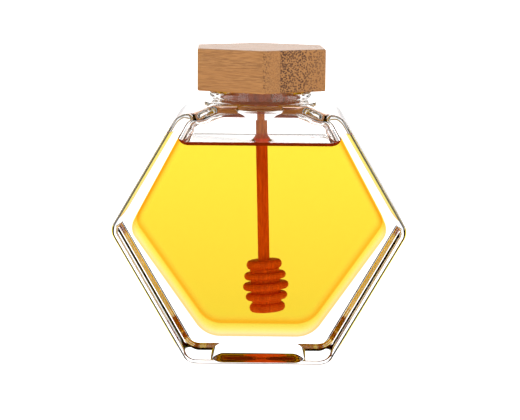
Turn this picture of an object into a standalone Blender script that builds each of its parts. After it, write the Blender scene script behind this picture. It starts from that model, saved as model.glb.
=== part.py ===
"""Hexagonal glass honey jar: thick pressed glass, honey, a bamboo lid with its plug, and a turned dipper.

Frame: metres, +Z up, the origin under the middle of the jar on the surface that it stands on.
The jar's two flat hexagonal faces look along -Y (front) and +Y (back), and its side corners along X.
"""

import math

import bmesh
import bpy
from mathutils import Matrix, Vector

MM = 0.001

# Glass body, seen from the front: the sharp corners of its right half as (x, z, radius), bottom to top.
BODY_DEPTH = 52.0 * MM
BODY_FOOT = (28.8 * MM, 0.0, 7.0 * MM)
BODY_SIDE = (59.6 * MM, 54.2 * MM, 5.5 * MM)
BODY_SHOULDER = (32.2 * MM, 101.3 * MM, 8.0 * MM)
BODY_EDGE_ROUND = 3.0 * MM
BODY_TOP_ROUND = 2.5 * MM
BODY_CROWN = 3.0 * MM

# Hollow of the body, laid out the same way.
HOLLOW_DEPTH = 43.0 * MM
HOLLOW_FOOT = (21.5 * MM, 10.5 * MM, 12.0 * MM)
HOLLOW_SIDE = (52.1 * MM, 54.2 * MM, 6.5 * MM)
HOLLOW_SHOULDER = (27.9 * MM, 99.2 * MM, 6.0 * MM)
HOLLOW_EDGE_ROUND = 5.5 * MM
HOLLOW_TOP_ROUND = 3.5 * MM
HOLLOW_CROWN = 3.0 * MM

# The top side of body and hollow rises by its crown towards the neck, over this run from each end.
CROWN_RUN = 10.0 * MM

# Neck: a short ring that ends in one round bead.
NECK_TOP = 109.1 * MM
BORE_RADIUS = 16.8 * MM
BORE_FLARE = (6.0 * MM, 3.0 * MM)
BEAD_RADIUS = 20.8 * MM
BEAD_LOW = 105.2 * MM
BEAD_BULGE = 2.6 * MM
NECK_FOOT_RADIUS = 22.8 * MM

# Recess under the base, with a rim left round it to stand on. Its sides slope: (inset, height).
RECESS_SIZE = (39.0 * MM, 36.0 * MM)
RECESS_CORNER = 5.0 * MM
RECESS_PROFILE = [
    (0.0, 0.0),
    (0.7 * MM, 0.7 * MM),
    (2.6 * MM, 2.1 * MM),
    (4.6 * MM, 2.85 * MM),
    (5.6 * MM, 2.9 * MM),
]

# Lid: a hexagonal bamboo block, one corner to the front, on a round plug.
LID_TOP = 126.2 * MM
LID_BOTTOM = 109.4 * MM
LID_ACROSS_FLATS = 51.0 * MM
LID_TURN = math.radians(2.2)
LID_EDGE_ROUND = 0.9 * MM
PLUG_RADIUS = 16.4 * MM
PLUG_BOTTOM = 100.6 * MM
PLUG_CHAMFER = 0.8 * MM
SOCKET_TOP = 114.0 * MM

# Dipper: a stick glued into the plug a little off plumb, and a grooved head a little askew on it.
STICK_RADIUS = 2.35 * MM
STICK_TOP = 113.7 * MM
HEAD_TOP = 40.0 * MM
HEAD_BOTTOM = 18.5 * MM
HEAD_TILT = math.radians(3.1)
DISC_RADII = [r * MM for r in (7.25, 8.55, 9.4, 8.6, 7.35)]
DISC_BULGE = 1.5 * MM
CORE_RADIUS = 6.0 * MM
GROOVE_SHARE = 0.30
DIPPER_LEAN = math.radians(1.5)
DIPPER_OFFSET = 0.4 * MM

HONEY_LEVEL = 88.1 * MM
GAP = 0.3 * MM

CORNER_STEPS = 6
TOP_STEPS = 16
EDGE_STEPS = 5
TURN_STEPS = 48
ROOM_TURN_STEPS = 32


def clear_scene():
    for obj in list(bpy.data.objects):
        bpy.data.objects.remove(obj)


def new_collection(name):
    collection = bpy.data.collections.new(name)
    bpy.context.scene.collection.children.link(collection)
    return collection


def material(name, colour, roughness, transmission=0.0, ior=1.5):
    made = bpy.data.materials.new(name)
    made.use_nodes = True
    shader = made.node_tree.nodes["Principled BSDF"]
    shader.inputs["Base Color"].default_value = (*colour, 1.0)
    shader.inputs["Roughness"].default_value = roughness
    shader.inputs["Metallic"].default_value = 0.0
    shader.inputs["Transmission Weight"].default_value = transmission
    shader.inputs["IOR"].default_value = ior
    return made


def add_object(name, bm, collection, look=None):
    mesh = bpy.data.meshes.new(name)
    bm.to_mesh(mesh)
    bm.free()
    mesh.shade_smooth()
    mesh.set_sharp_from_angle(angle=math.radians(35))
    obj = bpy.data.objects.new(name, mesh)
    collection.objects.link(obj)
    if look:
        mesh.materials.append(look)
    return obj


def boolean(obj, operation, other):
    modifier = obj.modifiers.new(f"{operation} {other.name}".lower(), "BOOLEAN")
    modifier.operation = operation
    modifier.object = other
    modifier.solver = "EXACT"


def rounded_corner(corner, before, after, radius):
    """(point, outward normal) along the arc that rounds one corner of an outline."""
    back = (before - corner).normalized()
    onwards = (after - corner).normalized()
    half_angle = back.angle(onwards) / 2
    centre = corner + (back + onwards).normalized() * radius / math.sin(half_angle)
    first = Vector((-back.y, back.x))
    last = Vector((onwards.y, -onwards.x))
    points = []
    for step in range(CORNER_STEPS + 1):
        normal = first.slerp(last, step / CORNER_STEPS)
        points.append((centre + normal * radius, normal))
    return points


def crowned_side(start, end, crown):
    """(point, outward normal) along the top side, which rises by crown on a smooth ramp from either end."""
    points = []
    for step in range(1, TOP_STEPS):
        point = start.lerp(end, step / TOP_STEPS)
        share = min(1.0, (abs(start.x) - abs(point.x)) / CROWN_RUN)
        rise = crown * share * share * (3 - 2 * share)
        slope = 6 * crown * share * (1 - share) / CROWN_RUN * (-1 if point.x > 0 else 1)
        points.append((point + Vector((0.0, rise)), Vector((-slope, 1.0)).normalized()))
    return points


def rounded_hexagon(foot, side, shoulder, crown):
    """(point, outward normal) in X and Z all round the outline, from the right foot."""
    right = [foot, side, shoulder]
    given = right + [(-x, z, radius) for x, z, radius in reversed(right)]
    sharp = [Vector(corner[:2]) for corner in given]
    ring = []
    for index, corner in enumerate(sharp):
        ring += rounded_corner(corner, sharp[index - 1], sharp[(index + 1) % 6], given[index][2])
        if index == 2:
            top_end = ring[-1][0]
            ring += crowned_side(top_end, Vector((-top_end.x, top_end.y)), crown)
    return ring


def hexagonal_block(name, outline, depth, rounds, crown, collection, look=None, inset=0.0):
    """The outline carried across Y with its two flat faces' edges rounded: rounds is (sides, top)."""
    ring = rounded_hexagon(*outline, crown)
    turns = [math.pi / 2 * step / EDGE_STEPS for step in range(EDGE_STEPS + 1)]
    bm = bmesh.new()
    loops = []
    for facing, turn in [(-1, turn) for turn in turns] + [(1, turn) for turn in reversed(turns)]:
        loop = []
        for point, normal in ring:
            topness = min(1.0, max(0.0, normal.y * 1.4 - 0.2))
            radius = rounds[0] + (rounds[1] - rounds[0]) * topness
            place = point - normal * (radius * (1 - math.sin(turn)) + inset * math.sin(turn))
            y = facing * (depth / 2 - radius * (1 - math.cos(turn)) - inset * math.cos(turn))
            loop.append(bm.verts.new((place.x, y, place.y)))
        loops.append(loop)
    join_loops(bm, loops)
    bmesh.ops.remove_doubles(bm, verts=bm.verts, dist=0.02 * MM)
    return add_object(name, bm, collection, look)


def join_loops(bm, loops):
    """Skins a stack of closed loops that have equal numbers of points, and caps both ends."""
    for near, far in zip(loops, loops[1:]):
        for index in range(len(near)):
            after = (index + 1) % len(near)
            bm.faces.new((near[index], near[after], far[after], far[index]))
    bm.faces.new(loops[0])
    bm.faces.new(loops[-1])
    bmesh.ops.recalc_face_normals(bm, faces=bm.faces)


def block(name, size, centre, collection):
    bm = bmesh.new()
    bmesh.ops.create_cube(bm, size=1.0)
    bmesh.ops.scale(bm, vec=size, verts=bm.verts)
    bmesh.ops.translate(bm, vec=centre, verts=bm.verts)
    return add_object(name, bm, collection)


def turned(name, profile, collection, look=None, steps=TURN_STEPS):
    """A solid of revolution about Z, from a profile of (radius, z) that starts and ends on the axis."""
    mesh = bpy.data.meshes.new(name)
    points = [(radius, 0.0, z) for radius, z in profile]
    mesh.from_pydata(points, [(i, i + 1) for i in range(len(points) - 1)], [])
    obj = bpy.data.objects.new(name, mesh)
    collection.objects.link(obj)
    screw = obj.modifiers.new("turn", "SCREW")
    screw.axis = "Z"
    screw.steps = screw.render_steps = steps
    screw.use_merge_vertices = True
    screw.merge_threshold = 0.01 * MM
    if look:
        mesh.materials.append(look)
    return obj


def arc(centre, radii, start, end, steps):
    """Points (radius, z) along an ellipse's arc about centre, between two angles in degrees."""
    points = []
    for step in range(steps + 1):
        angle = math.radians(start + (end - start) * step / steps)
        points.append((centre[0] + radii[0] * math.cos(angle), centre[1] + radii[1] * math.sin(angle)))
    return points


def neck_profile():
    """The ring's outside: a rounded top, the bead, and a foot that runs out flat on the shoulder."""
    bead_middle = (BEAD_LOW + NECK_TOP) / 2
    bead_half = (NECK_TOP - BEAD_LOW) / 2
    bead = arc((BEAD_RADIUS - BEAD_BULGE, bead_middle), (BEAD_BULGE, bead_half), 90, -60, 8)
    waist, waist_low = bead[-1]
    shoulder = BODY_SHOULDER[1] + BODY_CROWN
    foot = arc((NECK_FOOT_RADIUS, waist_low), (NECK_FOOT_RADIUS - waist, waist_low - shoulder), 180, 270, 5)
    inside_body = shoulder - 2 * MM
    return [(0.0, NECK_TOP)] + bead + foot[1:] + [(NECK_FOOT_RADIUS, inside_body), (0.0, inside_body)]


def bore_profile():
    """The way through the neck, flaring out into the hollow's ceiling."""
    lip_round = 1.2 * MM
    lip = arc((BORE_RADIUS + lip_round, NECK_TOP - lip_round), (lip_round, lip_round), 90, 180, 4)
    ceiling = HOLLOW_SHOULDER[1] + HOLLOW_CROWN - 0.5 * MM
    flare = arc((BORE_RADIUS + BORE_FLARE[0], ceiling + BORE_FLARE[1]), BORE_FLARE, 180, 262, 6)
    above = NECK_TOP + 5 * MM
    below = ceiling - 3 * MM
    return [(0.0, above), (lip[0][0], above)] + lip + flare + [(flare[-1][0], below), (0.0, below)]


def dipper_profile(grow=0.0, edge_steps=6):
    """Stick and head as one turned piece: five round-edged discs on a core, the widest in the middle."""
    pitch = (HEAD_TOP - HEAD_BOTTOM) / len(DISC_RADII)
    groove = pitch * GROOVE_SHARE / 2
    last = len(DISC_RADII) - 1
    core = CORE_RADIUS + grow
    points = [(0.0, STICK_TOP + grow), (STICK_RADIUS + grow, STICK_TOP + grow)]
    points.append((STICK_RADIUS + grow, HEAD_TOP + grow))
    for index, radius in enumerate(DISC_RADII):
        top = HEAD_TOP - index * pitch
        high = top - (groove if index else 0.0) + grow
        low = top - pitch + (groove if index < last else 0.0) - grow
        middle = (radius + grow - DISC_BULGE, (high + low) / 2)
        edge = arc(middle, (DISC_BULGE, (high - low) / 2), 90, -90, edge_steps)
        if index:
            points.append((core, high))
        points += edge
        if index < last:
            points.append((core, low))
    return points + [(0.0, HEAD_BOTTOM - grow)]


def tilt_head(obj):
    """Turns the head against the stick, about the middle of its top."""
    bpy.context.view_layer.update()
    evaluated = obj.evaluated_get(bpy.context.evaluated_depsgraph_get())
    obj.data = bpy.data.meshes.new_from_object(evaluated)
    obj.modifiers.clear()
    middle = Vector((0.0, 0.0, HEAD_TOP))
    turn = Matrix.Rotation(-HEAD_TILT, 3, "Y")
    for vertex in obj.data.vertices:
        if vertex.co.z < HEAD_TOP + 2 * GAP:
            vertex.co = middle + turn @ (vertex.co - middle)


def lean(obj):
    """Leans a piece laid out along the dipper's own axis about the middle of the plug's underside."""
    pivot = Vector((0.0, 0.0, PLUG_BOTTOM))
    aside = Vector((DIPPER_OFFSET, 0.0, 0.0))
    turn = Matrix.Rotation(-DIPPER_LEAN, 4, "Y")
    obj.matrix_world = Matrix.Translation(pivot + aside) @ turn @ Matrix.Translation(-pivot)


def recess_loop(inset, height):
    """Points round the recess's rectangle with round corners, moved in by inset."""
    radius = max(RECESS_CORNER - inset, 0.6 * MM)
    reach_x, reach_y = [side / 2 - inset - radius for side in RECESS_SIZE]
    points = []
    for index, (right, back) in enumerate(((1, 1), (-1, 1), (-1, -1), (1, -1))):
        centre = (right * reach_x, back * reach_y)
        quarter = arc(centre, (radius, radius), 90 * index, 90 * index + 90, CORNER_STEPS)
        points += [(x, y, height) for x, y in quarter]
    return points


def make_recess(cutters):
    """A shallow punt cut up into the base: sloping sides that round off into a flat ceiling."""
    bm = bmesh.new()
    below = (0.0, -2 * MM)
    loops = []
    for inset, height in [below] + RECESS_PROFILE:
        loops.append([bm.verts.new(point) for point in recess_loop(inset, height)])
    join_loops(bm, loops)
    return add_object("base_recess", bm, cutters)


def make_jar(parts, cutters):
    glass = material("clear_glass", (0.98, 0.99, 0.99), 0.0, transmission=1.0, ior=1.5)
    body = (BODY_FOOT, BODY_SIDE, BODY_SHOULDER)
    rounds = (BODY_EDGE_ROUND, BODY_TOP_ROUND)
    jar = hexagonal_block("jar", body, BODY_DEPTH, rounds, BODY_CROWN, parts, glass)
    neck = turned("neck_form", neck_profile(), cutters)
    inside = (HOLLOW_FOOT, HOLLOW_SIDE, HOLLOW_SHOULDER)
    inside_rounds = (HOLLOW_EDGE_ROUND, HOLLOW_TOP_ROUND)
    hollow = hexagonal_block("hollow", inside, HOLLOW_DEPTH, inside_rounds, HOLLOW_CROWN, cutters)
    bore = turned("bore", bore_profile(), cutters)
    boolean(jar, "UNION", neck)
    for cutter in (hollow, bore, make_recess(cutters)):
        boolean(jar, "DIFFERENCE", cutter)


def make_honey(parts, cutters):
    look = material("honey", (1.0, 0.62, 0.05), 0.0, transmission=1.0, ior=1.49)
    inside = (HOLLOW_FOOT, HOLLOW_SIDE, HOLLOW_SHOULDER)
    rounds = (HOLLOW_EDGE_ROUND, HOLLOW_TOP_ROUND)
    honey = hexagonal_block("honey", inside, HOLLOW_DEPTH, rounds, HOLLOW_CROWN, parts, look, inset=GAP)
    headroom = block("headroom", (0.2, 0.1, 0.04), (0.0, 0.0, HONEY_LEVEL + 0.02), cutters)
    profile = dipper_profile(grow=GAP, edge_steps=4)
    room = turned("dipper_room", profile, cutters, steps=ROOM_TURN_STEPS)
    tilt_head(room)
    lean(room)
    boolean(honey, "DIFFERENCE", headroom)
    boolean(honey, "DIFFERENCE", room)


def make_lid(parts, cutters):
    bamboo = material("bamboo", (0.58, 0.33, 0.13), 0.45)
    radius = LID_ACROSS_FLATS / math.sqrt(3)
    height = LID_TOP - LID_BOTTOM
    bm = bmesh.new()
    bmesh.ops.create_cone(bm, cap_ends=True, segments=6, radius1=radius, radius2=radius, depth=height)
    bmesh.ops.rotate(bm, verts=bm.verts, matrix=Matrix.Rotation(LID_TURN, 3, "Z"))
    bmesh.ops.translate(bm, verts=bm.verts, vec=(0, 0, (LID_TOP + LID_BOTTOM) / 2))
    bmesh.ops.bevel(bm, geom=bm.edges[:], offset=LID_EDGE_ROUND, segments=3, profile=0.5, affect="EDGES")
    lid = add_object("lid", bm, parts, bamboo)
    plug_top = LID_BOTTOM + 4 * MM
    plug_profile = [
        (0.0, plug_top),
        (PLUG_RADIUS, plug_top),
        (PLUG_RADIUS, PLUG_BOTTOM + PLUG_CHAMFER),
        (PLUG_RADIUS - PLUG_CHAMFER, PLUG_BOTTOM),
        (0.0, PLUG_BOTTOM),
    ]
    plug = turned("plug_form", plug_profile, cutters)
    socket_radius = STICK_RADIUS + GAP
    socket_bottom = PLUG_BOTTOM - 20 * MM
    socket_profile = [
        (0.0, SOCKET_TOP),
        (socket_radius, SOCKET_TOP),
        (socket_radius, socket_bottom),
        (0.0, socket_bottom),
    ]
    socket = turned("stick_socket", socket_profile, cutters)
    lean(socket)
    boolean(lid, "UNION", plug)
    boolean(lid, "DIFFERENCE", socket)


def make_dipper(parts):
    wood = material("dipper_wood", (0.42, 0.20, 0.08), 0.5)
    dipper = turned("dipper", dipper_profile(), parts, wood)
    tilt_head(dipper)
    lean(dipper)


def main():
    clear_scene()
    parts = new_collection("honey_jar")
    cutters = new_collection("cutters")
    make_jar(parts, cutters)
    make_honey(parts, cutters)
    make_lid(parts, cutters)
    make_dipper(parts)
    for obj in cutters.objects:
        obj.hide_render = True
        obj.display_type = "WIRE"


main()
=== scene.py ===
"""Looks of the hexagonal honey jar: glass, honey and its surface, bamboo lid, turned dipper and studio.

Metres, in the CAD model's frame: +Z up, the jar's front face towards -Y, the origin under its middle.
"""

import math

import bmesh
import bpy
from mathutils import Matrix, Vector


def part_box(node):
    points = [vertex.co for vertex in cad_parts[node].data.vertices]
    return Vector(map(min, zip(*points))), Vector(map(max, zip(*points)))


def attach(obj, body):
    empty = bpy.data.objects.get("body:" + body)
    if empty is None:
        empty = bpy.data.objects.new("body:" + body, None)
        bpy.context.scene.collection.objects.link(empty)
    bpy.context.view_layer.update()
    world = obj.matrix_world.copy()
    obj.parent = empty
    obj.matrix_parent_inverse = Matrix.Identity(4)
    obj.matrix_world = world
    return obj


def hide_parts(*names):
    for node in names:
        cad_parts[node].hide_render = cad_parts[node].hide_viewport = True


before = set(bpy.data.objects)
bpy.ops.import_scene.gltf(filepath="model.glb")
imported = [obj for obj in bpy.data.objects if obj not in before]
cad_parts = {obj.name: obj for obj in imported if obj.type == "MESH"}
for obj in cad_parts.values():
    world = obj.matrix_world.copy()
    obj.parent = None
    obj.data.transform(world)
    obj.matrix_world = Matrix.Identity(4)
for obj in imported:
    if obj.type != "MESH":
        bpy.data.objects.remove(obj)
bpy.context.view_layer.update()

MM = 0.001
MERGE_DISTANCE = 0.002 * MM
TOOL_OVERLAP = 5.0 * MM

# Camera, which looks down a little at the front face.
CAMERA_PLACE = (5.8 * MM, -643.3 * MM, 164.2 * MM)
CAMERA_PITCH = math.radians(9.28)
CAMERA_HEADING = math.radians(0.5)
CAMERA_ROLL = math.radians(0.45)
CAMERA_LENS = 109.5
SENSOR_WIDTH = 36.0
CLIP_RANGE = (0.01, 50.0)

# Glass body, as the CAD has it: sharp corners (x, z, radius) of the right half, bottom to top.
BODY_DEPTH = 52.0 * MM
BODY_FOOT = (28.8 * MM, 0.0, 7.0 * MM)
BODY_SIDE = (59.6 * MM, 54.2 * MM, 5.5 * MM)
BODY_SHOULDER = (32.2 * MM, 101.3 * MM, 8.0 * MM)
BODY_EDGE_ROUND = 3.0 * MM
BODY_TOP_ROUND = 2.5 * MM
BODY_CROWN = 3.0 * MM
CROWN_RUN = 10.0 * MM
HOLLOW_DEPTH = 43.0 * MM
HOLLOW_FOOT = (21.5 * MM, 10.5 * MM, 12.0 * MM)
HOLLOW_SIDE = (52.1 * MM, 54.2 * MM, 6.5 * MM)
HOLLOW_SHOULDER = (27.9 * MM, 99.2 * MM, 6.0 * MM)
HOLLOW_EDGE_ROUND = 5.5 * MM
HOLLOW_TOP_ROUND = 3.5 * MM
HOLLOW_CROWN = 3.0 * MM

# How fast the rounding along the top takes over where the outline turns upwards.
TOP_ROUND_GAIN = 1.4
TOP_ROUND_LAG = 0.2

NECK_TOP = 109.1 * MM
NECK_IN_BODY = 2.0 * MM
NECK_FOOT_RADIUS = 22.8 * MM
BEAD_RADIUS = 20.8 * MM
BEAD_LOW = 105.2 * MM
BEAD_BULGE = 2.6 * MM
BEAD_ARC = (90, -60, 28)
NECK_FOOT_ARC = (180, 270, 14)
BORE_RADIUS = 16.8 * MM
BORE_FLARE = (6.0 * MM, 3.0 * MM)
BORE_FLARE_ARC = (180, 262, 16)
BORE_IN_HOLLOW = 3.0 * MM
BORE_BELOW_CEILING = 0.5 * MM
LIP_ROUND = 1.2 * MM
LIP_ARC = (90, 180, 12)

# Recess under the base. Its profile is (how far in from its outline, height), from below the base up.
RECESS_SIZE = (39.0 * MM, 36.0 * MM)
RECESS_CORNER = 5.0 * MM
RECESS_LEAST_CORNER = 0.6 * MM
RECESS_CORNER_STEPS = 10
RECESS_PROFILE = [
    (0.0, -2.0 * MM),
    (0.0, 0.0),
    (0.2 * MM, 0.3 * MM),
    (0.7 * MM, 0.7 * MM),
    (1.6 * MM, 1.4 * MM),
    (2.6 * MM, 2.1 * MM),
    (3.6 * MM, 2.6 * MM),
    (4.6 * MM, 2.85 * MM),
    (5.6 * MM, 2.9 * MM),
]

# Lid and dipper, as the CAD has them, the lid's edges finer.
LID_TOP = 126.2 * MM
LID_BOTTOM = 109.4 * MM
LID_ACROSS_FLATS = 51.0 * MM
LID_TURN = math.radians(2.2)
LID_EDGE_ROUND = 0.6 * MM
LID_EDGE_STEPS = 5
PLUG_RADIUS = 16.4 * MM
PLUG_TOP_GAP = 0.01 * MM
PLUG_BOTTOM = 100.6 * MM
PLUG_CHAMFER = 0.8 * MM
PLUG_CHAMFER_STEPS = 8
PLUG_MARKS = 9
PLUG_MARK_DEPTH = 0.08 * MM
PLUG_MARK_STEPS = 4
SOCKET_TOP = 114.0 * MM
SOCKET_STEPS = 48
STICK_RADIUS = 2.35 * MM
DIPPER_LEAN = math.radians(1.5)
DIPPER_OFFSET = 0.4 * MM
FIT_GAP = 0.3 * MM

# Honey. It meets the glass along a line that is higher at the front, and climbs at both sides.
HONEY_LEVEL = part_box("honey")[1].z
INTO_WALL = 0.12 * MM
FRONT_RISE = 1.7 * MM
BACK_RISE = 0.25 * MM
CONTACT_POINT = Vector((0.0, 0.0, HONEY_LEVEL + (FRONT_RISE + BACK_RISE) / 2))
CONTACT_NORMAL = Vector((0.0, (FRONT_RISE - BACK_RISE) / HOLLOW_DEPTH, 1.0))
CLIMB_START = 29.6 * MM
CLIMB_SLOPE = 0.5
SURFACE_GAP = 0.04 * MM
MENISCUS_REACH = 1.1 * MM
MENISCUS_WIDTH = 4.0 * MM
MENISCUS_STEPS = 14
EDGE_CROWDING = 1.6
COLLAR_RISE = 3.2 * MM
COLLAR_REACH = 1.0 * MM
COLLAR_WIDTH = 4.5 * MM
COLLAR_IN_STICK = 0.05 * MM
COLLAR_STEPS = 16
COLLAR_TURN_STEPS = 48

# Painted shade: a dark rim along the contact line. Its height and width on the glass, and how it fades to
# the back.
RIM_SHADE_LAYER = "rim_shade"
RIM_HEIGHT = 1.7 * MM
RIM_FADE = 0.5 * MM
RIM_WIDTH = (1.6 * MM, 2.0 * MM)
RIM_AT_BACK = 0.1
RIM_FADES_OVER = (-14.0 * MM, 14.0 * MM)

# Fineness of the curves, and where shading breaks at an edge, in degrees.
CORNER_STEPS = 20
TOP_STEPS = 48
EDGE_STEPS = 12
TURN_STEPS = 160
SHARP_ANGLE = 30
HONEY_SHARP_ANGLE = 50
FACE_AREA_WEIGHT = 80

# Clear materials. Honey and glass bend light almost alike, so where they touch neither bends it.
GLASS_IOR = 1.5
HONEY_IOR = 1.49
UNBENT_IOR = 1.0
WHITE = (1.0, 1.0, 1.0, 1.0)
GLASS_SHADOW = (0.96, 0.97, 0.97, 1.0)
HONEY_SHADOW = (1.0, 0.8, 0.35, 1.0)
SURFACE_SHADOW = (1.0, 0.95, 0.8, 1.0)
HONEY_DEPTH_COLOUR = (0.94, 0.84, 0.0, 1.0)
HONEY_DENSITY = 75.0
# Painted colour on the hollow's rounded edges, under and above the honey, for the light those edges bend
# and mirror in.
PAINTED_EDGE_IN_HONEY = (1.0, 0.45, 0.1, 1.0)
PAINTED_EDGE_ABOVE_HONEY = (0.75, 0.33, 0.18, 1.0)
# Painted shade: the dark red of the rim along the honey's contact line.
RIM_SHADE_RED = (0.30, 0.035, 0.006, 1.0)
COLLAR_EDGE = (1.0, 0.55, 0.3, 1.0)

# Ramps are (from, to, result before, result after).
TINT_FROM_SIDE = (0.03, 0.3, 0.0, 1.0)
TINT_TO_FRONT = (0.45, 0.96, 1.0, 0.0)
COLLAR_STEEPNESS = (0.93, 0.997, 1.0, 0.0)
COLLAR_AREA = (9.0 * MM, 13.0 * MM, 1.0, 0.0)

# Bamboo: the way its fibres run, and its strips, in millimetres.
FIBRE_TURN = math.radians(27.8)
FIBRE_STRETCH = (0.055, 1.0, 1.0)
STRIP_WIDTH = 7.4
STRIP_SHIFT = 18.5
STRIP_PHASE = 0.3
STRIP_PERIOD = 3.6
STRIP_OUTER_SIDE = (0.1, 0.6, 0.45, 0.0)
STRIP_JOINT = (0.485, 0.5, 0.0, 0.5)
DOTS_BY_STRIP = 0.8
DOTS_AT_LEAST = 0.15
DOTS_SHOWN = 0.95
DOT_SCALE = 1.3
DOT_SCATTER = 0.8
DOT_EDGE = (0.36, 0.56, 1.0, 0.0)
DOTS_END_ON = (0.3, 0.8, 0.15, 1.0)
BAMBOO_ROUGHNESS = 0.42
BAMBOO_LIGHT = (0.47, 0.215, 0.064, 1.0)
BAMBOO_WARM = (0.43, 0.180, 0.045, 1.0)
BAMBOO_DARK = (0.30, 0.125, 0.034, 1.0)
BAMBOO_DOT = (0.10, 0.035, 0.012, 1.0)
# Painted shade: the plug's bamboo, darker and redder for where it sits inside the glass neck.
PLUG_SHADED_LIGHT = (0.26, 0.056, 0.010, 1.0)
PLUG_SHADED_WARM = (0.20, 0.037, 0.007, 1.0)
PLUG_SHADED_DARK = (0.13, 0.022, 0.004, 1.0)

# Noises are (scale, detail, roughness, distortion), and bumps (strength, depth).
STREAK_NOISE = (3.4, 4.0, 0.62, 0.0)
STREAK_TONE = (0.37, 0.61, 0.0, 1.0)
PATCH_NOISE = (0.22, 2.0, 0.5, 0.0)
PATCH_TONE = (0.35, 0.7, 0.0, 0.45)
BAMBOO_BUMP = (0.25, 0.2 * MM)

DIPPER_STRETCH = 0.12
DIPPER_GRAIN = (1.6, 5.0, 0.6, 0.4)
DIPPER_GRAIN_TONE = (0.3, 0.7, 0.0, 1.0)
DIPPER_PATCHES = (0.35, 2.0, 0.5, 0.0)
DIPPER_PATCH_TONE = (0.4, 0.65, 0.0, 0.5)
DIPPER_BUMP = (0.35, 0.3 * MM)
DIPPER_ROUGHNESS = 0.55
DIPPER_HONEY_LINE_FADE = 0.15
DRY_DARK = (0.34, 0.10, 0.014, 1.0)
DRY_LIGHT = (0.62, 0.21, 0.032, 1.0)
# Below the honey: wood soaked by it, made darker and redder still by painted shade.
SOAKED_SHADED_DARK = (0.62, 0.058, 0.004, 1.0)
SOAKED_SHADED_LIGHT = (0.92, 0.125, 0.012, 1.0)
SOAKED_SHADED_PATCH = (0.62, 0.05, 0.004, 1.0)

# Studio. Heights are in degrees above the horizon; sides are the cosine of an angle round the jar.
FLOOR_REACH = 8.0
FLOOR_DROP = 0.2 * MM
FLOOR_GREY = (0.9, 0.9, 0.9, 1.0)
AMBIENT = 0.85
PANELS_ROUND = 8.0
PANEL_SIDES = (-0.65, -0.35, 0.0, 1.0)
PANEL_BOTTOM = (-31, -27, 0.2, 1.0)
PANEL_TOP = (17, 21, 1.0, 0.0)
PANEL_GLOW = (-20, 0, 1.05, 1.75)
PANEL_UPPER_GLOW = (1, 7, 1.0, 1.25)
PANEL_BY_CAMERA = (-0.98, -0.9, 0.4, 1.0)
CAMERA_SIDE_FILL = (-0.5, 0.2, 0.7, 0.0)
WING_SIDES = (-0.95, -0.8, 1.3, 0.0)
WING_BOTTOM = (18, 24, 0.0, 1.0)
WING_TOP = (65, 78, 1.0, 0.3)
RING_BOTTOM = (-2, 8, 0.0, 1.8)
RING_TOP = (60, 80, 1.0, 0.0)
RING_SIDES = (-0.77, -0.34, 0.0, 1.0)
LOW_STRIP_BOTTOM = (-30, -20, 0.0, 1.0)
LOW_STRIP_TOP = (12, 20, 1.0, 0.0)
LOW_STRIP_SIDES = (0.87, 0.98, 0.0, 1.0)


def new_object(name, mesh):
    obj = bpy.data.objects.new(name, mesh)
    bpy.context.scene.collection.objects.link(obj)
    return obj


def from_bmesh(name, bm):
    mesh = bpy.data.meshes.new(name)
    bm.to_mesh(mesh)
    bm.free()
    return new_object(name, mesh)


def add_loops(bm, loops):
    """Joins loops of points by faces, and gives the vertices of each loop."""
    rings = [[bm.verts.new(point) for point in loop] for loop in loops]
    for near, far in zip(rings, rings[1:]):
        for index in range(len(near)):
            after = (index + 1) % len(near)
            bm.faces.new((near[index], near[after], far[after], far[index]))
    return rings


def closed_bmesh(loops):
    """A closed shape with a face across its first and its last loop."""
    bm = bmesh.new()
    rings = add_loops(bm, loops)
    bm.faces.new(rings[0])
    bm.faces.new(rings[-1])
    return bm


def arched_top(start, crown):
    """(point, outward normal) along the top side, from start to its mirror image, raised by crown."""
    end = Vector((-start.x, start.y))
    points = []
    for step in range(1, TOP_STEPS):
        point = start.lerp(end, step / TOP_STEPS)
        share = min(1.0, (abs(start.x) - abs(point.x)) / CROWN_RUN)
        rise = crown * share * share * (3 - 2 * share)
        slope = 6 * crown * share * (1 - share) / CROWN_RUN * (-1 if point.x > 0 else 1)
        points.append((point + Vector((0.0, rise)), Vector((-slope, 1.0)).normalized()))
    return points


def rounded_hexagon(foot, side, shoulder, crown):
    """(point, outward normal) all round a hexagon with rounded corners and an arched top."""
    right = [foot, side, shoulder]
    corners = right + [(-x, z, radius) for x, z, radius in reversed(right)]
    sharp = [Vector((x, z)) for x, z, _ in corners]
    ring = []
    for index, corner in enumerate(sharp):
        radius = corners[index][2]
        back = (sharp[index - 1] - corner).normalized()
        onwards = (sharp[(index + 1) % len(sharp)] - corner).normalized()
        half_angle = back.angle(onwards) / 2
        centre = corner + (back + onwards).normalized() * radius / math.sin(half_angle)
        first = Vector((-back.y, back.x))
        last = Vector((onwards.y, -onwards.x))
        for step in range(CORNER_STEPS + 1):
            normal = first.slerp(last, step / CORNER_STEPS)
            ring.append((centre + normal * radius, normal))
        if corners[index] == shoulder:
            ring += arched_top(ring[-1][0], crown)
    return ring


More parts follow.
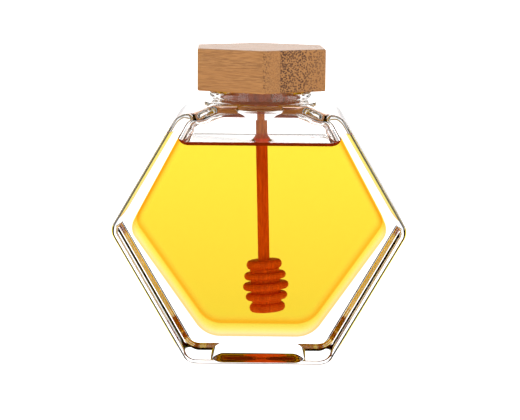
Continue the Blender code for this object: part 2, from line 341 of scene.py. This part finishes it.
def hexagonal_block(name, corners, depth, edge_round, top_round, crown, grow=0.0):
    """A rounded hexagon across Y, its front and back edges rounded, more tightly along the top."""
    ring = rounded_hexagon(*corners, crown)
    half = depth / 2
    loops = []
    for step in range(2 * EDGE_STEPS + 2):
        side = -1 if step <= EDGE_STEPS else 1
        turn = (step if side < 0 else 2 * EDGE_STEPS + 1 - step) / EDGE_STEPS * math.pi / 2
        loop = []
        for point, normal in ring:
            top = min(1.0, max(0.0, normal.y * TOP_ROUND_GAIN - TOP_ROUND_LAG))
            radius = edge_round + (top_round - edge_round) * top
            place = point - normal * (radius * (1 - math.sin(turn)) - grow * math.sin(turn))
            y = side * (half - radius * (1 - math.cos(turn)) + grow * math.cos(turn))
            loop.append((place.x, y, place.y))
        loops.append(loop)
    bm = closed_bmesh(loops)
    bmesh.ops.remove_doubles(bm, verts=bm.verts, dist=MERGE_DISTANCE)
    bmesh.ops.recalc_face_normals(bm, faces=bm.faces)
    return from_bmesh(name, bm)


def hollow_block(name, grow=0.0):
    """The shape of the jar's hollow, larger by grow all round."""
    corners = (HOLLOW_FOOT, HOLLOW_SIDE, HOLLOW_SHOULDER)
    return hexagonal_block(
        name, corners, HOLLOW_DEPTH, HOLLOW_EDGE_ROUND, HOLLOW_TOP_ROUND, HOLLOW_CROWN, grow
    )


def turned(name, profile, steps=TURN_STEPS):
    """A mesh of revolution about Z. The profile is (radius, z), top to bottom."""
    mesh = bpy.data.meshes.new(name)
    points = [(radius, 0.0, z) for radius, z in profile]
    mesh.from_pydata(points, [(i, i + 1) for i in range(len(points) - 1)], [])
    obj = new_object(name, mesh)
    screw = obj.modifiers.new("turn", "SCREW")
    screw.axis = "Z"
    screw.steps = screw.render_steps = steps
    screw.use_merge_vertices = True
    screw.merge_threshold = MERGE_DISTANCE
    return obj


def arc(centre, radii, start, end, steps):
    """Points of an ellipse round centre, from start to end in degrees."""
    points = []
    for step in range(steps + 1):
        angle = math.radians(start + (end - start) * step / steps)
        points.append((centre[0] + radii[0] * math.cos(angle), centre[1] + radii[1] * math.sin(angle)))
    return points


def apply_modifiers(obj):
    """Makes the evaluated mesh the object's own, and drops the modifiers."""
    bpy.context.view_layer.update()
    evaluated = obj.evaluated_get(bpy.context.evaluated_depsgraph_get())
    mesh = bpy.data.meshes.new_from_object(evaluated)
    mesh.transform(obj.matrix_world)
    obj.modifiers.clear()
    obj.data = mesh
    obj.matrix_world = Matrix.Identity(4)


def combine(obj, *steps):
    """Runs (operation, tool) Booleans on obj, then removes the tools. Faces keep their material numbers."""
    for operation, tool in steps:
        modifier = obj.modifiers.new(operation, "BOOLEAN")
        modifier.operation = operation
        modifier.object = tool
        modifier.solver = "EXACT"
        modifier.material_mode = "INDEX"
    apply_modifiers(obj)
    for _, tool in steps:
        bpy.data.objects.remove(tool)


def smooth(obj, sharp_angle=SHARP_ANGLE):
    """Smooth shading weighted by face area, so flat faces stay flat beside their rounded edges."""
    obj.data.shade_smooth()
    obj.data.set_sharp_from_angle(angle=math.radians(sharp_angle))
    weighted = obj.modifiers.new("weighted normals", "WEIGHTED_NORMAL")
    weighted.mode = "FACE_AREA"
    weighted.weight = FACE_AREA_WEIGHT
    weighted.keep_sharp = True
    apply_modifiers(obj)


def neck_profile():
    """The outside of the neck, from its top down over the bead and out into the shoulder."""
    bead_middle = (BEAD_LOW + NECK_TOP) / 2
    bead_half = (NECK_TOP - BEAD_LOW) / 2
    bead = arc((BEAD_RADIUS - BEAD_BULGE, bead_middle), (BEAD_BULGE, bead_half), *BEAD_ARC)
    waist, waist_low = bead[-1]
    shoulder = BODY_SHOULDER[1] + BODY_CROWN
    foot_radii = (NECK_FOOT_RADIUS - waist, waist_low - shoulder)
    foot = arc((NECK_FOOT_RADIUS, waist_low), foot_radii, *NECK_FOOT_ARC)
    inside_body = shoulder - NECK_IN_BODY
    return [(0.0, NECK_TOP)] + bead + foot[1:] + [(NECK_FOOT_RADIUS, inside_body), (0.0, inside_body)]


def bore_profile():
    """The inside of the neck, from above its rounded lip down to where it flares into the hollow."""
    lip = arc((BORE_RADIUS + LIP_ROUND, NECK_TOP - LIP_ROUND), (LIP_ROUND, LIP_ROUND), *LIP_ARC)
    ceiling = HOLLOW_SHOULDER[1] + HOLLOW_CROWN - BORE_BELOW_CEILING
    flare = arc((BORE_RADIUS + BORE_FLARE[0], ceiling + BORE_FLARE[1]), BORE_FLARE, *BORE_FLARE_ARC)
    above = NECK_TOP + TOOL_OVERLAP
    below = ceiling - BORE_IN_HOLLOW
    return [(0.0, above), (lip[0][0], above)] + lip + flare + [(flare[-1][0], below), (0.0, below)]


def rounded_rectangle(size, corner, inset, z):
    """Points round a rectangle with rounded corners, moved in by inset, at height z."""
    radius = max(corner - inset, RECESS_LEAST_CORNER)
    reach = [side / 2 - inset - radius for side in size]
    points = []
    for index, (right, back) in enumerate(((1, 1), (-1, 1), (-1, -1), (1, -1))):
        centre = (right * reach[0], back * reach[1])
        for x, y in arc(centre, (radius, radius), 90 * index, 90 * index + 90, RECESS_CORNER_STEPS):
            points.append((x, y, z))
    return points


def recess_tool():
    """The shallow recess under the base: sloping sides that round off into a flat ceiling."""
    loops = [rounded_rectangle(RECESS_SIZE, RECESS_CORNER, inset, z) for inset, z in RECESS_PROFILE]
    bm = closed_bmesh(loops)
    bmesh.ops.recalc_face_normals(bm, faces=bm.faces)
    return from_bmesh("recess_tool", bm)


# Materials.


class Nodes:
    """Short ways to add value nodes to one node tree."""

    def __init__(self, tree):
        self.tree = tree

    def add(self, kind, *sockets, **settings):
        node = self.tree.nodes.new(kind)
        for setting, value in settings.items():
            setattr(node, setting, value)
        for socket, value in zip(node.inputs, sockets):
            self.feed(socket, value)
        return node

    def feed(self, socket, value):
        """Links value if it is another node's output, and otherwise sets it."""
        if isinstance(value, bpy.types.NodeSocket):
            self.tree.links.new(value, socket)
        elif value is not None:
            socket.default_value = value

    def math(self, operation, *values):
        return self.add("ShaderNodeMath", *values, operation=operation).outputs["Value"]

    def product(self, *values):
        result = values[0]
        for value in values[1:]:
            result = self.math("MULTIPLY", result, value)
        return result

    def ramp(self, value, low, high, start, end):
        """Goes smoothly from start, where value is low, to end, where it is high."""
        node = self.add(
            "ShaderNodeMapRange", value, low, high, start, end, interpolation_type="SMOOTHSTEP"
        )
        return node.outputs["Result"]

    def colours(self, factor, first, second):
        """Mixes two colours: first where factor is 0, second where it is 1."""
        node = self.add("ShaderNodeMix", data_type="RGBA")
        for name, value in (("Factor_Float", factor), ("A_Color", first), ("B_Color", second)):
            socket = next(item for item in node.inputs if item.identifier == name)
            self.feed(socket, value)
        return next(item for item in node.outputs if item.identifier == "Result_Color")

    def noise(self, place, scale, detail, roughness, distortion):
        node = self.add("ShaderNodeTexNoise", place)
        node.inputs["Scale"].default_value = scale
        node.inputs["Detail"].default_value = detail
        node.inputs["Roughness"].default_value = roughness
        node.inputs["Distortion"].default_value = distortion
        return node.outputs["Fac"]

    def bump(self, level, strength, distance):
        node = self.add("ShaderNodeBump")
        node.inputs["Strength"].default_value = strength
        node.inputs["Distance"].default_value = distance
        self.feed(node.inputs["Height"], level)
        return node.outputs["Normal"]

    def part(self, vector, axis):
        return self.add("ShaderNodeSeparateXYZ", vector).outputs[axis]

    def facing(self, vector, axis):
        """How far a direction points along an axis, either way."""
        return self.math("ABSOLUTE", self.part(vector, axis))

    def turned(self, vector, angle):
        """The vector turned about Z."""
        node = self.add("ShaderNodeVectorRotate", vector, None, None, angle, rotation_type="Z_AXIS")
        return node.outputs[0]

    def normal(self):
        return self.add("ShaderNodeNewGeometry").outputs["Normal"]

    def grain(self, turn, stretch):
        """Object coordinates in mm, turned about Z and squeezed by stretch, so that patterns run long."""
        place = self.add("ShaderNodeTexCoord").outputs["Object"]
        node = self.add("ShaderNodeVectorMath", self.turned(place, turn), operation="MULTIPLY")
        node.inputs[1].default_value = [factor / MM for factor in stretch]
        return node.outputs[0]


def new_material(name):
    """(material, its nodes, its main shader)."""
    material = bpy.data.materials.new(name)
    material.use_nodes = True
    kit = Nodes(material.node_tree)
    return material, kit, kit.tree.nodes["Principled BSDF"]


def clear_shader(name, ior):
    """A new material whose main shader is clear and smooth."""
    material, kit, shader = new_material(name)
    shader.inputs["Base Color"].default_value = WHITE
    shader.inputs["Roughness"].default_value = 0.0
    shader.inputs["IOR"].default_value = ior
    shader.inputs["Transmission Weight"].default_value = 1.0
    return material, kit, shader


def let_shadows_through(kit, surface, tint):
    """Shows surface, but lets shadow rays pass it, only tinted, so that what is inside is lit."""
    shadow = kit.add("ShaderNodeLightPath").outputs["Is Shadow Ray"]
    clear = kit.add("ShaderNodeBsdfTransparent", tint).outputs["BSDF"]
    mix = kit.add("ShaderNodeMixShader", shadow, surface, clear)
    kit.feed(kit.tree.nodes["Material Output"].inputs["Surface"], mix.outputs["Shader"])


def glass_material():
    material, kit, shader = clear_shader("clear_glass", GLASS_IOR)
    let_shadows_through(kit, shader.outputs["BSDF"], GLASS_SHADOW)
    return material


def inner_wall_material(name, ior, painted_edge_colour):
    """Glass round the hollow. Painted colour on its rounded edges stands in for the honey-coloured light
    they bend and mirror in.
    """
    material, kit, shader = clear_shader(name, ior)
    # Painted bent light: the tint goes on the rounded edges only, not on the flat faces.
    facing = kit.facing(kit.normal(), "Y")
    rounded = kit.product(kit.ramp(facing, *TINT_FROM_SIDE), kit.ramp(facing, *TINT_TO_FRONT))
    kit.feed(shader.inputs["Base Color"], kit.colours(rounded, WHITE, painted_edge_colour))
    let_shadows_through(kit, shader.outputs["BSDF"], WHITE)
    return material


def honey_material():
    """Only the colour of the depth. What bends light is the surface on top, a piece of its own."""
    material, kit, shader = clear_shader("honey", UNBENT_IOR)
    let_shadows_through(kit, shader.outputs["BSDF"], HONEY_SHADOW)
    absorb = kit.add("ShaderNodeVolumeAbsorption", HONEY_DEPTH_COLOUR, HONEY_DENSITY)
    kit.feed(kit.tree.nodes["Material Output"].inputs["Volume"], absorb.outputs["Volume"])
    return material


def surface_material():
    """The top of the honey: clear, with painted shade as a dark red rim at the glass, and a warm collar
    round the stick.
    """
    material, kit, shader = clear_shader("honey_surface", HONEY_IOR)
    position = kit.add("ShaderNodeNewGeometry").outputs["Position"]
    middle_out = kit.add("ShaderNodeVectorMath", position, (0.0, 0.0, -HONEY_LEVEL), operation="ADD")
    length = kit.add("ShaderNodeVectorMath", middle_out.outputs[0], operation="LENGTH")
    on_collar = kit.ramp(length.outputs["Value"], *COLLAR_AREA)
    steep = kit.ramp(kit.facing(kit.normal(), "Z"), *COLLAR_STEEPNESS)
    collar_tint = kit.colours(kit.product(steep, on_collar), WHITE, COLLAR_EDGE)
    kit.feed(shader.inputs["Base Color"], collar_tint)
    # Painted shade: a dark red matt rim replaces the clear surface where the layer asks for it.
    on_rim_shade = kit.add("ShaderNodeAttribute", attribute_name=RIM_SHADE_LAYER).outputs["Fac"]
    rim_shade = kit.add("ShaderNodeBsdfDiffuse", RIM_SHADE_RED)
    mix = kit.add("ShaderNodeMixShader", on_rim_shade, shader.outputs["BSDF"], rim_shade.outputs["BSDF"])
    let_shadows_through(kit, mix.outputs["Shader"], SURFACE_SHADOW)
    return material


def strip_pattern(kit, along_fibre):
    """The strips that the bamboo is pressed from: how crowded each one's dots are, and their joints."""
    place = kit.math("DIVIDE", kit.math("ADD", kit.part(along_fibre, "Y"), STRIP_SHIFT), STRIP_WIDTH)
    strip = kit.math("SUBTRACT", kit.math("FLOOR", place), STRIP_PHASE)
    inside_strip = kit.math("FRACT", place)
    wave = kit.math("COSINE", kit.math("MULTIPLY", strip, 2 * math.pi / STRIP_PERIOD))
    tone = kit.ramp(wave, -1.0, 1.0, 0.0, 1.0)
    outer_side = kit.ramp(inside_strip, *STRIP_OUTER_SIDE)
    crowding = kit.math("ADD", kit.math("MULTIPLY_ADD", tone, DOTS_BY_STRIP, DOTS_AT_LEAST), outer_side)
    from_middle = kit.math("ABSOLUTE", kit.math("SUBTRACT", inside_strip, 0.5))
    return crowding, kit.ramp(from_middle, *STRIP_JOINT)


def fibre_dots(kit, along_fibre):
    """Dots of cut fibre, and how much they show: most on the sides that the fibres run out of."""
    cells = kit.add("ShaderNodeTexVoronoi", along_fibre)
    cells.inputs["Scale"].default_value = DOT_SCALE
    cells.inputs["Randomness"].default_value = DOT_SCATTER
    dots = kit.ramp(cells.outputs["Distance"], *DOT_EDGE)
    end_on = kit.facing(kit.turned(kit.normal(), FIBRE_TURN), "X")
    return dots, kit.ramp(end_on, *DOTS_END_ON)


def bamboo_material(name, light, warm, dark):
    """Pressed bamboo strips, streaked along the fibres and dotted where the fibres are cut."""
    material, kit, shader = new_material(name)
    along_fibre = kit.grain(FIBRE_TURN, FIBRE_STRETCH)
    crowding, joint = strip_pattern(kit, along_fibre)
    dots, shown = fibre_dots(kit, along_fibre)
    streaks = kit.noise(along_fibre, *STREAK_NOISE)
    patches = kit.noise(along_fibre, *PATCH_NOISE)
    wood = kit.colours(kit.ramp(streaks, *STREAK_TONE), dark, light)
    wood = kit.colours(kit.ramp(patches, *PATCH_TONE), wood, warm)
    wood = kit.colours(kit.product(dots, crowding, shown, DOTS_SHOWN), wood, BAMBOO_DOT)
    wood = kit.colours(joint, wood, BAMBOO_DOT)
    kit.feed(shader.inputs["Base Color"], wood)
    shader.inputs["Roughness"].default_value = BAMBOO_ROUGHNESS
    kit.feed(shader.inputs["Normal"], kit.bump(kit.math("SUBTRACT", streaks, dots), *BAMBOO_BUMP))
    return material


def dipper_material():
    """Turned hardwood, redder and deeper below the honey level: partly soaked by honey, partly painted
    shade.
    """
    material, kit, shader = new_material("dipper_wood")
    grain = kit.grain(0.0, (1.0, 1.0, DIPPER_STRETCH))
    fine = kit.noise(grain, *DIPPER_GRAIN)
    patches = kit.noise(grain, *DIPPER_PATCHES)
    tone = kit.ramp(fine, *DIPPER_GRAIN_TONE)
    dry = kit.colours(tone, DRY_DARK, DRY_LIGHT)
    # Below the honey level: soaked colours with painted shade.
    soaked_and_shaded = kit.colours(tone, SOAKED_SHADED_DARK, SOAKED_SHADED_LIGHT)
    soaked_and_shaded = kit.colours(kit.ramp(patches, *DIPPER_PATCH_TONE), soaked_and_shaded, SOAKED_SHADED_PATCH)
    level = HONEY_LEVEL / MM * DIPPER_STRETCH
    below_honey_level = kit.ramp(kit.part(grain, "Z"), level, level + DIPPER_HONEY_LINE_FADE, 1.0, 0.0)
    kit.feed(shader.inputs["Base Color"], kit.colours(below_honey_level, dry, soaked_and_shaded))
    shader.inputs["Roughness"].default_value = DIPPER_ROUGHNESS
    kit.feed(shader.inputs["Normal"], kit.bump(fine, *DIPPER_BUMP))
    return material


# Pieces.


def contact_planes():
    """(point, normal) of three planes: level across the middle, and climbing at either side.

    Honey touches the glass wherever a place is below at least one of them.
    """
    planes = [(CONTACT_POINT, CONTACT_NORMAL)]
    for side in (-1, 1):
        point = CONTACT_POINT + Vector((side * CLIMB_START, 0.0, 0.0))
        planes.append((point, CONTACT_NORMAL - Vector((side * CLIMB_SLOPE, 0.0, 0.0))))
    return planes


def mark_wet(hollow):
    """Numbers the inner wall's material: 1 where honey touches it, 2 above."""
    bm = bmesh.new()
    bm.from_mesh(hollow.data)
    planes = contact_planes()
    for point, normal in planes:
        everything = bm.verts[:] + bm.edges[:] + bm.faces[:]
        bmesh.ops.bisect_plane(bm, geom=everything, plane_co=point, plane_no=normal)
    for face in bm.faces:
        middle = face.calc_center_median()
        dry = all((middle - point).dot(normal) > 0 for point, normal in planes)
        face.material_index = 2 if dry else 1
    bm.to_mesh(hollow.data)
    bm.free()


def make_glass():
    """The whole jar. Its materials are numbered 0 outside, 1 where honey wets it and 2 above that."""
    looks = (
        glass_material(),
        inner_wall_material("glass_under_honey", UNBENT_IOR, PAINTED_EDGE_IN_HONEY),
        inner_wall_material("glass_above_honey", GLASS_IOR, PAINTED_EDGE_ABOVE_HONEY),
    )
    corners = (BODY_FOOT, BODY_SIDE, BODY_SHOULDER)
    jar = hexagonal_block(
        "glass_jar", corners, BODY_DEPTH, BODY_EDGE_ROUND, BODY_TOP_ROUND, BODY_CROWN
    )
    hollow = hollow_block("hollow_tool")
    mark_wet(hollow)
    for mesh in (jar.data, hollow.data):
        for look in looks:
            mesh.materials.append(look)
    combine(
        jar,
        ("UNION", turned("neck_tool", neck_profile())),
        ("DIFFERENCE", hollow),
        ("DIFFERENCE", turned("bore_tool", bore_profile())),
        ("DIFFERENCE", recess_tool()),
    )
    smooth(jar)
    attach(jar, "root")
    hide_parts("jar")


def inward(ring):
    """The 2-D direction towards the middle, square to the ring, at each of its points."""
    directions = []
    for index in range(len(ring)):
        along = ring[(index + 1) % len(ring)].co - ring[index - 1].co
        directions.append(Vector((-along.y, along.x, 0.0)).normalized())
    return directions


def climb(ring):
    """Slides the contact line up the slanting side walls, to where the climbing planes cut them."""
    rise = HOLLOW_SHOULDER[1] - HOLLOW_SIDE[1]
    up = Vector((HOLLOW_SHOULDER[0] - HOLLOW_SIDE[0], rise)).normalized()
    for vert in ring:
        over = abs(vert.co.x) - CLIMB_START
        if over > 0:
            slide = CLIMB_SLOPE * over / (up.y - CLIMB_SLOPE * up.x)
            vert.co += Vector((math.copysign(up.x, -vert.co.x), 0.0, up.y)) * slide


def honey_below_contact():
    """The hollow's own shape, a touch into the glass, cut off at the contact line.

    Gives its object, its bmesh and the vertices of the contact line in their order round it.
    """
    fill = hollow_block("honey_fill", INTO_WALL)
    bm = bmesh.new()
    bm.from_mesh(fill.data)
    everything = bm.verts[:] + bm.edges[:] + bm.faces[:]
    cut = bmesh.ops.bisect_plane(
        bm, geom=everything, plane_co=CONTACT_POINT, plane_no=CONTACT_NORMAL, clear_outer=True
    )
    verts = [item for item in cut["geom_cut"] if isinstance(item, bmesh.types.BMVert)]
    ring = sorted(verts, key=lambda vert: math.atan2(vert.co.y, vert.co.x))
    climb(ring)
    return fill, bm, ring


def meniscus_distance(step):
    """How far from the glass a loop of the surface lies. Loops crowd towards the glass."""
    return MENISCUS_WIDTH * (step / MENISCUS_STEPS) ** EDGE_CROWDING


def meniscus_loops(ring):
    """Loops of points from the contact line inwards, falling to the level as a wetting liquid does."""
    directions = inward(ring)
    loops = []
    for step in range(MENISCUS_STEPS + 1):
        distance = meniscus_distance(step)
        settled = 1 - math.exp(-distance / MENISCUS_REACH)
        loop = []
        for vert, way in zip(ring, directions):
            fall = (vert.co.z - HONEY_LEVEL) * settled
            loop.append(vert.co + way * distance - Vector((0, 0, fall)))
        loops.append(loop)
    return loops


def collar_loops():
    """Loops of points from the level up the stick, where honey clings to it."""
    inner = STICK_RADIUS - COLLAR_IN_STICK
    end = math.exp(-COLLAR_WIDTH / COLLAR_REACH)
    loops = []
    for step in range(COLLAR_STEPS + 1):
        distance = COLLAR_WIDTH * (1 - step / COLLAR_STEPS) ** EDGE_CROWDING
        z = HONEY_LEVEL + COLLAR_RISE * (math.exp(-distance / COLLAR_REACH) - end)
        middle = DIPPER_OFFSET + (PLUG_BOTTOM - z) * math.tan(DIPPER_LEAN)
        loop = []
        for turn_step in range(COLLAR_TURN_STEPS):
            angle = 2 * math.pi * turn_step / COLLAR_TURN_STEPS
            x = middle + (inner + distance) * math.cos(angle)
            loop.append(Vector((x, (inner + distance) * math.sin(angle), z)))
        loops.append(loop)
    return loops


def edges_round(bm, ring):
    """The edges that join a ring's vertices."""
    return [bm.edges.get((vert, ring[index - 1])) for index, vert in enumerate(ring)]


def falling(value, start, end):
    """1 up to start, 0 from end on."""
    return min(1.0, max(0.0, (end - value) / (end - start)))


def paint_rim_shade(layer, rings):
    """Stores how much painted shade darkens the honey's edge: a line of even height along the glass, faint
    at the back.
    """
    for step, ring in enumerate(rings):
        near_glass = falling(meniscus_distance(step), *RIM_WIDTH)
        for vert, contact in zip(ring, rings[0]):
            high = falling(contact.co.z - vert.co.z, RIM_HEIGHT - RIM_FADE, RIM_HEIGHT)
            front = RIM_AT_BACK + (1 - RIM_AT_BACK) * falling(vert.co.y, *RIM_FADES_OVER)
            vert[layer] = high * near_glass * front


def finish_honey(obj, bm, material):
    """Gives obj the shape in bm and its material, and puts it in place of the CAD's honey."""
    bmesh.ops.remove_doubles(bm, verts=bm.verts, dist=MERGE_DISTANCE / 2)
    bmesh.ops.recalc_face_normals(bm, faces=bm.faces)
    bm.to_mesh(obj.data)
    bm.free()
    smooth(obj, HONEY_SHARP_ANGLE)
    obj.data.materials.append(material)
    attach(obj, "root")
    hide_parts("honey")


def make_honey_fill(fill, bm, loops):
    """The honey itself, closed on top just below its surface."""
    lower = [[point - Vector((0, 0, SURFACE_GAP)) for point in loop] for loop in loops[1:]]
    rings = add_loops(bm, [loops[0]] + lower)
    bm.faces.new(rings[-1])
    finish_honey(fill, bm, honey_material())


def make_honey_surface(loops):
    """The open sheet on top of the honey, which mirrors and bends light."""
    bm = bmesh.new()
    layer = bm.verts.layers.float.new(RIM_SHADE_LAYER)
    rings = add_loops(bm, loops)
    collar_foot = add_loops(bm, collar_loops())[0]
    between = edges_round(bm, rings[-1]) + edges_round(bm, collar_foot)
    bmesh.ops.triangle_fill(bm, use_beauty=True, edges=between)
    paint_rim_shade(layer, rings)
    surface = new_object("honey_surface", bpy.data.meshes.new("honey_surface"))
    finish_honey(surface, bm, surface_material())
    largest = max(surface.data.polygons, key=lambda face: face.area)
    if largest.normal.z < 0:
        surface.data.flip_normals()


def make_honey():
    """The honey and its surface share the contact line that the hollow's shape gives."""
    fill, bm, ring = honey_below_contact()
    loops = meniscus_loops(ring)
    make_honey_fill(fill, bm, loops)
    make_honey_surface(loops)


def lean(obj):
    """Leans a piece laid out along the dipper's own axis about the middle of the plug's underside."""
    pivot = Vector((0.0, 0.0, PLUG_BOTTOM))
    aside = Vector((DIPPER_OFFSET, 0.0, 0.0))
    turn = Matrix.Rotation(-DIPPER_LEAN, 4, "Y")
    obj.matrix_world = Matrix.Translation(pivot + aside) @ turn @ Matrix.Translation(-pivot)


def socket_tool():
    """The blind hole that the stick sits in."""
    radius = STICK_RADIUS + FIT_GAP
    low = PLUG_BOTTOM - TOOL_OVERLAP
    profile = [(0.0, SOCKET_TOP), (radius, SOCKET_TOP), (radius, low), (0.0, low)]
    tool = turned("socket_tool", profile, SOCKET_STEPS)
    lean(tool)
    return tool


def lid_block():
    """The hexagonal block of the lid with finely eased edges."""
    radius = LID_ACROSS_FLATS / math.sqrt(3)
    bm = bmesh.new()
    bmesh.ops.create_cone(
        bm, cap_ends=True, segments=6, radius1=radius, radius2=radius, depth=LID_TOP - LID_BOTTOM
    )
    bmesh.ops.rotate(bm, verts=bm.verts, matrix=Matrix.Rotation(LID_TURN, 3, "Z"))
    bmesh.ops.translate(bm, verts=bm.verts, vec=(0, 0, (LID_TOP + LID_BOTTOM) / 2))
    bmesh.ops.bevel(
        bm,
        geom=bm.edges[:],
        offset=LID_EDGE_ROUND,
        segments=LID_EDGE_STEPS,
        profile=0.5,
        affect="EDGES",
    )
    return from_bmesh("lid_block", bm)


def plug_profile():
    """The plug's outside, top to bottom, with the shallow turning marks of its cutter."""
    top = LID_BOTTOM - PLUG_TOP_GAP
    chamfer_top = PLUG_BOTTOM + PLUG_CHAMFER
    profile = [(0.0, top), (PLUG_RADIUS, top)]
    for step in range(1, PLUG_MARKS * PLUG_MARK_STEPS + 1):
        share = step / (PLUG_MARKS * PLUG_MARK_STEPS)
        depth = PLUG_MARK_DEPTH / 2 * (1 - math.cos(2 * math.pi * share * PLUG_MARKS))
        profile.append((PLUG_RADIUS - depth, top + (chamfer_top - top) * share))
    centre = (PLUG_RADIUS - PLUG_CHAMFER, chamfer_top)
    chamfer = arc(centre, (PLUG_CHAMFER, PLUG_CHAMFER), 0, -90, PLUG_CHAMFER_STEPS)
    return profile + chamfer[1:] + [(0.0, PLUG_BOTTOM)]


def make_lid():
    """The block and the plug that fills the neck: the same bamboo, the plug's colours darker and redder as
    painted shade.
    """
    bamboo = bamboo_material("bamboo", BAMBOO_LIGHT, BAMBOO_WARM, BAMBOO_DARK)
    # The plug is the lid's bamboo with painted shade.
    shaded_bamboo = bamboo_material("bamboo_plug_shaded", PLUG_SHADED_LIGHT, PLUG_SHADED_WARM, PLUG_SHADED_DARK)
    for piece, look in ((lid_block(), bamboo), (turned("lid_plug", plug_profile()), shaded_bamboo)):
        combine(piece, ("DIFFERENCE", socket_tool()))
        smooth(piece)
        piece.data.materials.clear()
        piece.data.materials.append(look)
        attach(piece, "root")
        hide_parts("lid")


def dress_dipper():
    """The dipper keeps the CAD's own shape and gets its wood."""
    look = dipper_material()
    for material_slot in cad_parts["dipper"].material_slots:
        material_slot.material = look


# Studio.


def make_floor():
    """A white floor that glows evenly. Glass doesn't mirror it or show it through."""
    bm = bmesh.new()
    bmesh.ops.create_grid(bm, x_segments=1, y_segments=1, size=FLOOR_REACH)
    floor = from_bmesh("floor", bm)
    floor.location.z = -FLOOR_DROP
    material, _, shader = new_material("floor_white")
    shader.inputs["Base Color"].default_value = FLOOR_GREY
    shader.inputs["Roughness"].default_value = 1.0
    shader.inputs["Specular IOR Level"].default_value = 0.0
    shader.inputs["Emission Color"].default_value = WHITE
    shader.inputs["Emission Strength"].default_value = 1.0
    floor.data.materials.append(material)
    floor.visible_transmission = False
    floor.visible_glossy = False


def by_height(kit, z, low, high, start, end):
    """A ramp over the height above the horizon, with low and high in degrees."""
    return kit.ramp(z, math.sin(math.radians(low)), math.sin(math.radians(high)), start, end)


def panels(kit, azimuth, z):
    """Bright upright panels all round the horizon with dark gaps between, dimmer next to the camera."""
    across = kit.math("COSINE", kit.math("MULTIPLY", azimuth, PANELS_ROUND))
    away = kit.math("COSINE", azimuth)
    return kit.product(
        kit.ramp(across, *PANEL_SIDES),
        by_height(kit, z, *PANEL_BOTTOM),
        by_height(kit, z, *PANEL_TOP),
        by_height(kit, z, *PANEL_GLOW),
        by_height(kit, z, *PANEL_UPPER_GLOW),
        kit.ramp(away, *PANEL_BY_CAMERA),
    )


def wings(kit, azimuth, z):
    """A high light straight to the left and one to the right."""
    sideways = kit.math("COSINE", kit.math("MULTIPLY", azimuth, 2.0))
    return kit.product(
        kit.ramp(sideways, *WING_SIDES),
        by_height(kit, z, *WING_BOTTOM),
        by_height(kit, z, *WING_TOP),
    )


def seen_through(kit, azimuth, z):
    """What the glass bends into view: the panels and wings, and an even fill on the camera's side."""
    lights = kit.math("ADD", panels(kit, azimuth, z), wings(kit, azimuth, z))
    away = kit.math("COSINE", azimuth)
    return kit.math("MAXIMUM", lights, kit.ramp(away, *CAMERA_SIDE_FILL))


def mirrored(kit, azimuth, z):
    """A bright ring of softboxes above the horizon, open towards the camera, and a low strip behind."""
    away = kit.math("COSINE", azimuth)
    ring = kit.product(
        by_height(kit, z, *RING_BOTTOM),
        by_height(kit, z, *RING_TOP),
        kit.ramp(away, *RING_SIDES),
    )
    strip = kit.product(
        by_height(kit, z, *LOW_STRIP_BOTTOM),
        by_height(kit, z, *LOW_STRIP_TOP),
        kit.ramp(away, *LOW_STRIP_SIDES),
    )
    return kit.math("ADD", ring, strip)


def make_world():
    """A white studio, lit apart for what is seen directly, seen through glass, mirrored, and matt."""
    world = bpy.data.worlds.new("studio")
    bpy.context.scene.world = world
    world.use_nodes = True
    world.cycles.sampling_method = "NONE"
    kit = Nodes(world.node_tree)
    direction = kit.add("ShaderNodeTexCoord").outputs["Generated"]
    x, y, z = kit.add("ShaderNodeSeparateXYZ", direction).outputs
    azimuth = kit.math("ARCTAN2", x, y)
    path = kit.add("ShaderNodeLightPath").outputs
    through = path["Is Transmission Ray"]
    not_through = kit.math("SUBTRACT", 1.0, through)
    strength = kit.math("MULTIPLY", through, seen_through(kit, azimuth, z))
    for kind, light in (
        ("Is Camera Ray", 1.0),
        ("Is Diffuse Ray", AMBIENT),
        ("Is Glossy Ray", mirrored(kit, azimuth, z)),
    ):
        strength = kit.math("ADD", strength, kit.product(path[kind], not_through, light))
    background = world.node_tree.nodes["Background"]
    background.inputs["Color"].default_value = WHITE
    kit.feed(background.inputs["Strength"], strength)


def make_camera():
    data = bpy.data.cameras.new("camera")
    data.lens = CAMERA_LENS
    data.sensor_width = SENSOR_WIDTH
    data.clip_start, data.clip_end = CLIP_RANGE
    camera = bpy.data.objects.new("camera", data)
    bpy.context.scene.collection.objects.link(camera)
    heading = Matrix.Rotation(CAMERA_HEADING, 4, "Z")
    pitch = Matrix.Rotation(math.pi / 2 - CAMERA_PITCH, 4, "X")
    roll = Matrix.Rotation(CAMERA_ROLL, 4, "Z")
    camera.matrix_world = Matrix.Translation(CAMERA_PLACE) @ heading @ pitch @ roll
    bpy.context.scene.camera = camera


def set_light_paths():
    """Enough bounces for light to cross the thick glass corners many times."""
    scene = bpy.context.scene
    scene.view_settings.view_transform = "Standard"
    scene.cycles.max_bounces = 32
    scene.cycles.transmission_bounces = 28
    scene.cycles.glossy_bounces = 12
    scene.cycles.diffuse_bounces = 4
    scene.cycles.transparent_max_bounces = 24
    scene.cycles.blur_glossy = 0.0


make_camera()
make_glass()
make_honey()
make_lid()
dress_dipper()
make_floor()
make_world()
set_light_paths()
